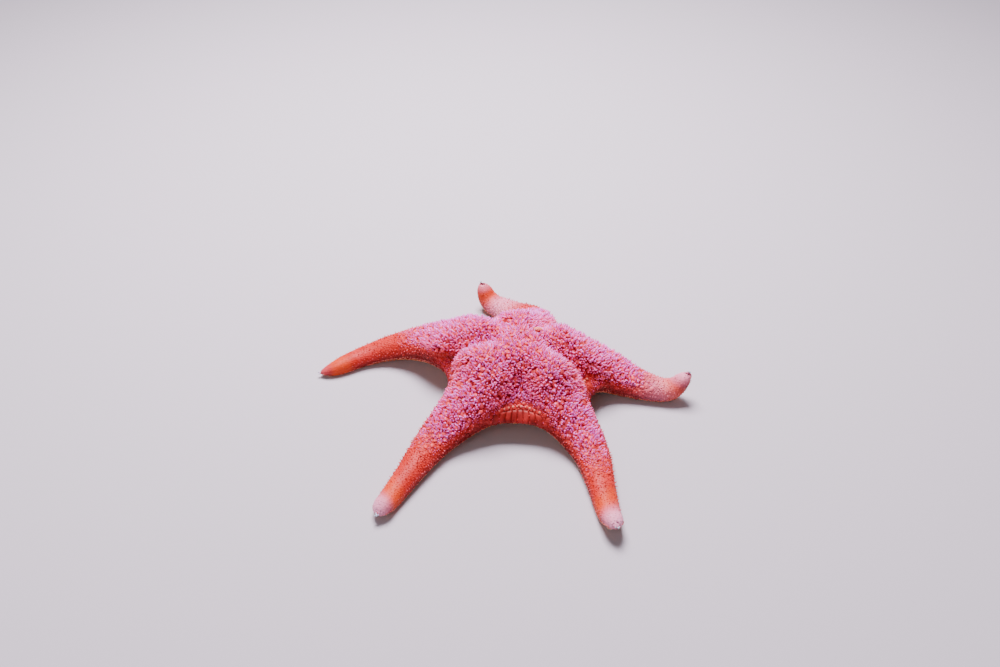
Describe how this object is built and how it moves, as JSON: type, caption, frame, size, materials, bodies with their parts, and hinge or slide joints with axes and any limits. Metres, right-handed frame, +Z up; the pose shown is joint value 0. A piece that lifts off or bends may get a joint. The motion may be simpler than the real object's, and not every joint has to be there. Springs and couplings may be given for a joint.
{
  "type": "sea star",
  "caption": "Sea star with tapering arms spread from a domed disc, tips curled up, with soft gills on top and a furrow of tube feet along the underside of every arm.",
  "frame": {"origin": "on the floor, under the middle of the box round the star", "axes": "+Z up; +X towards the arm named right, +Y towards the arm named back; the two front arms point to -Y"},
  "size_m": [0.1508, 0.1384, 0.0281],
  "materials": {
    "coral_skin": "coral red skin, matt to softly wet, set with small orange plates and pale lilac gills",
    "pale_tip": "pale cream pink skin, finely granular",
    "madreporite": "matt limy plate with fine winding grooves",
    "mouth": "soft moist membrane",
    "tube_feet": "soft moist translucent feet"
  },
  "bodies": {
    "root": {"disc": "coral_skin", "mouth": "mouth", "madreporite": "madreporite", "arm_right_inner": "coral_skin", "arm_right_outer": "coral_skin", "arm_right_tip": "pale_tip", "tube_feet_right": "tube_feet", "arm_back_inner": "coral_skin", "arm_back_outer": "coral_skin", "arm_back_tip": "pale_tip", "tube_feet_back": "tube_feet", "arm_left_inner": "coral_skin", "arm_left_outer": "coral_skin", "arm_left_tip": "pale_tip", "tube_feet_left": "tube_feet", "arm_front_left_inner": "coral_skin", "arm_front_left_outer": "coral_skin", "arm_front_left_tip": "pale_tip", "tube_feet_front_left": "tube_feet", "arm_front_right_inner": "coral_skin", "arm_front_right_outer": "coral_skin", "arm_front_right_tip": "pale_tip", "tube_feet_front_right": "tube_feet"}
  },
  "joints": []
}
